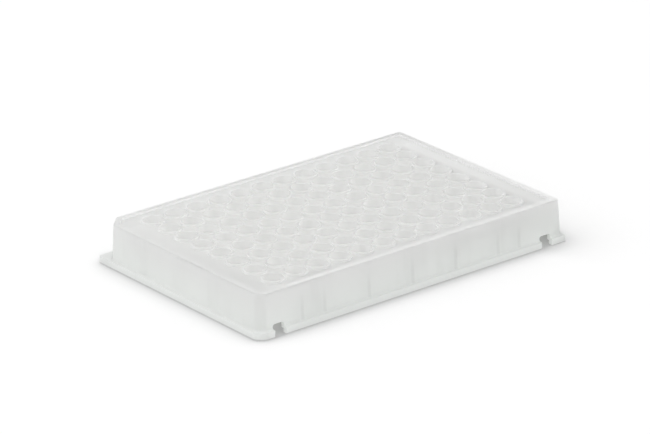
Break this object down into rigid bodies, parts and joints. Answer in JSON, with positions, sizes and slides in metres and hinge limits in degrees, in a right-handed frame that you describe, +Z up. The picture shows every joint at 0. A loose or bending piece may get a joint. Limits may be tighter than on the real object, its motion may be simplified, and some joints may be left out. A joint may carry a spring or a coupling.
{
  "type": "well plate",
  "caption": "Laboratory microplate with a grid of round-bottomed wells in a low skirted frame, for small liquid samples.",
  "frame": {"origin": "centre of the footprint, on the surface the plate stands on", "axes": "+X along the rows from column 1 to column 12, +Y towards row A, +Z up through the wells' mouths"},
  "size_m": [0.1278, 0.0854, 0.0148],
  "materials": {
    "plate_plastic": "translucent natural polypropylene, satin, fine moulded texture"
  },
  "bodies": {
    "root": {"well_plate": "plate_plastic"}
  },
  "joints": []
}
